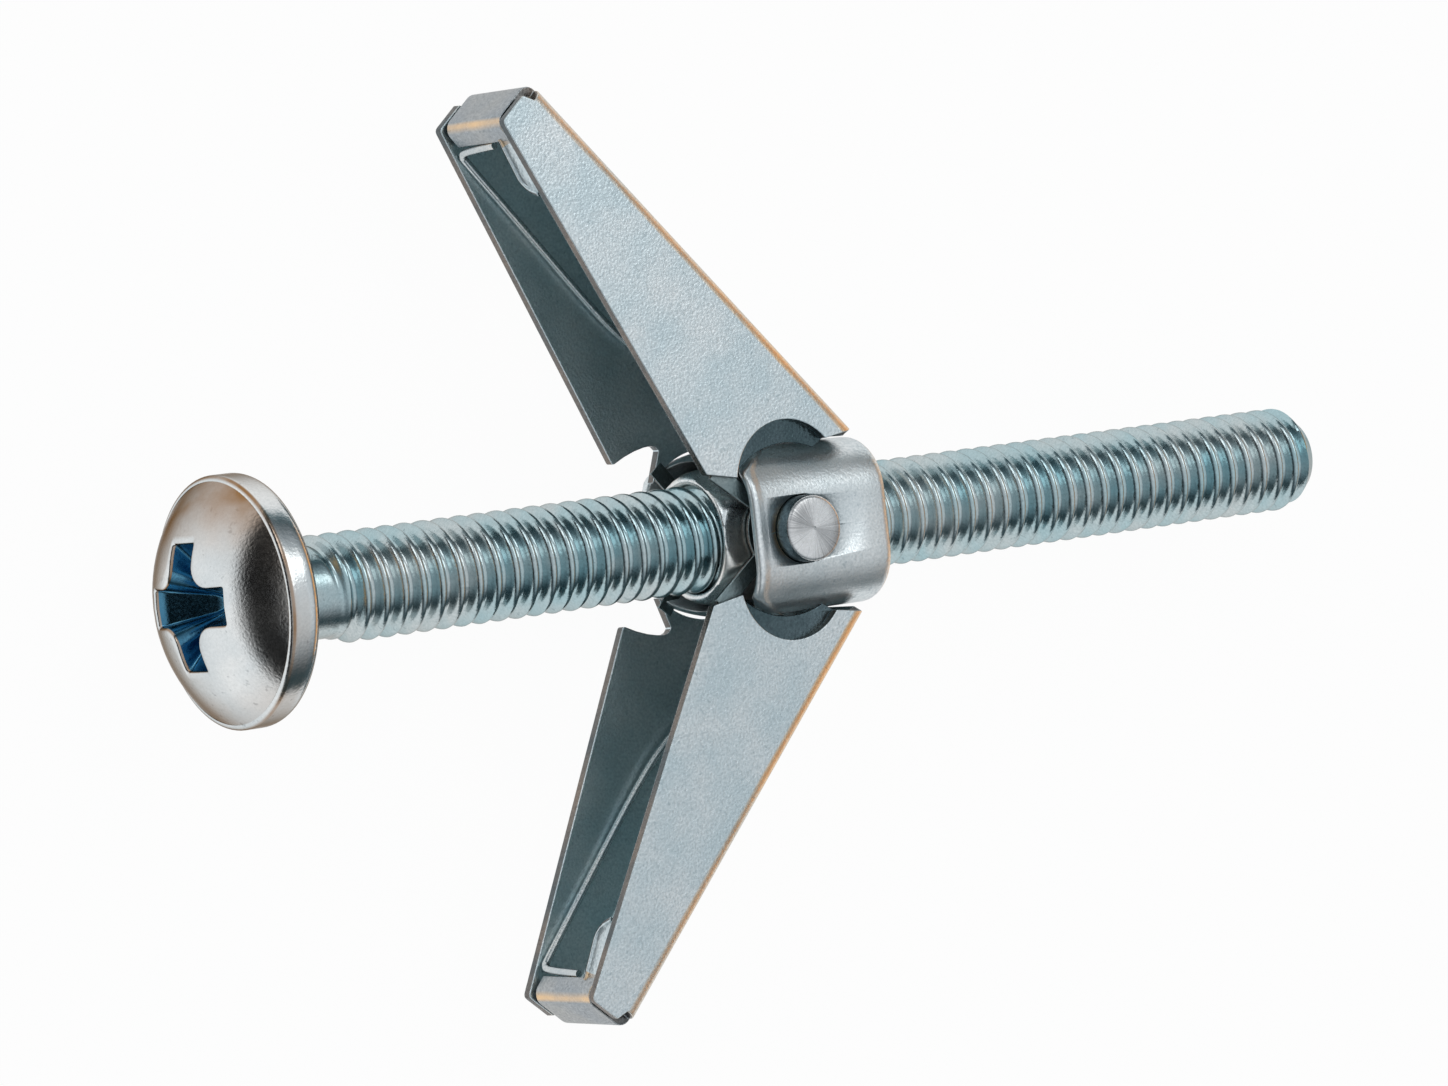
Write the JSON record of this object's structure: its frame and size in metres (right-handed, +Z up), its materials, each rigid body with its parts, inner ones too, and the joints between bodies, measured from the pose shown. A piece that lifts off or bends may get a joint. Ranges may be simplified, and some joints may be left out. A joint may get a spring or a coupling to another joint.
{
  "type": "spring toggle bolt",
  "caption": "Mushroom-head machine screw with a trunnion nut and sprung folding channel wings, for fixing through a hollow wall.",
  "frame": {"origin": "on the screw axis, at the bearing face under the head", "axes": "+X along the screw to its tip, +Z up along the hinge axis of the wings, as it lies flat on a table"},
  "size_m": [0.0804, 0.0548, 0.0144],
  "materials": {
    "screw_zinc": "bright zinc plate, rolled thread",
    "nut_zinc": "bright zinc plate",
    "sheet_zinc": "satin zinc plated sheet",
    "spring_steel": "drawn spring wire"
  },
  "bodies": {
    "screw": {"machine_screw": "screw_zinc"},
    "hub": {"trunnion_nut": "nut_zinc", "hub_band": "sheet_zinc", "wire_spring": "spring_steel"},
    "left_wing": {"left_wing": "sheet_zinc"},
    "right_wing": {"right_wing": "sheet_zinc"}
  },
  "joints": [
    {"name": "nut_travel", "type": "slide", "parent": "screw", "child": "hub", "axis": [1, 0, 0], "range_m": [-0.002, 0.034]},
    {"name": "left_wing_fold", "type": "hinge", "parent": "hub", "child": "left_wing", "pos_m": [0.0343, 0, 0], "axis": [0, 0, 1], "range_deg": [0, 48], "stiffness_Nm_per_rad": 0.02, "springref_deg": -28.65, "deforming": ["wire_spring"]},
    {"name": "right_wing_fold", "type": "hinge", "parent": "hub", "child": "right_wing", "pos_m": [0.0343, 0, 0], "axis": [0, 0, -1], "range_deg": [0, 48], "stiffness_Nm_per_rad": 0.02, "springref_deg": -28.65, "deforming": ["wire_spring"]}
  ]
}
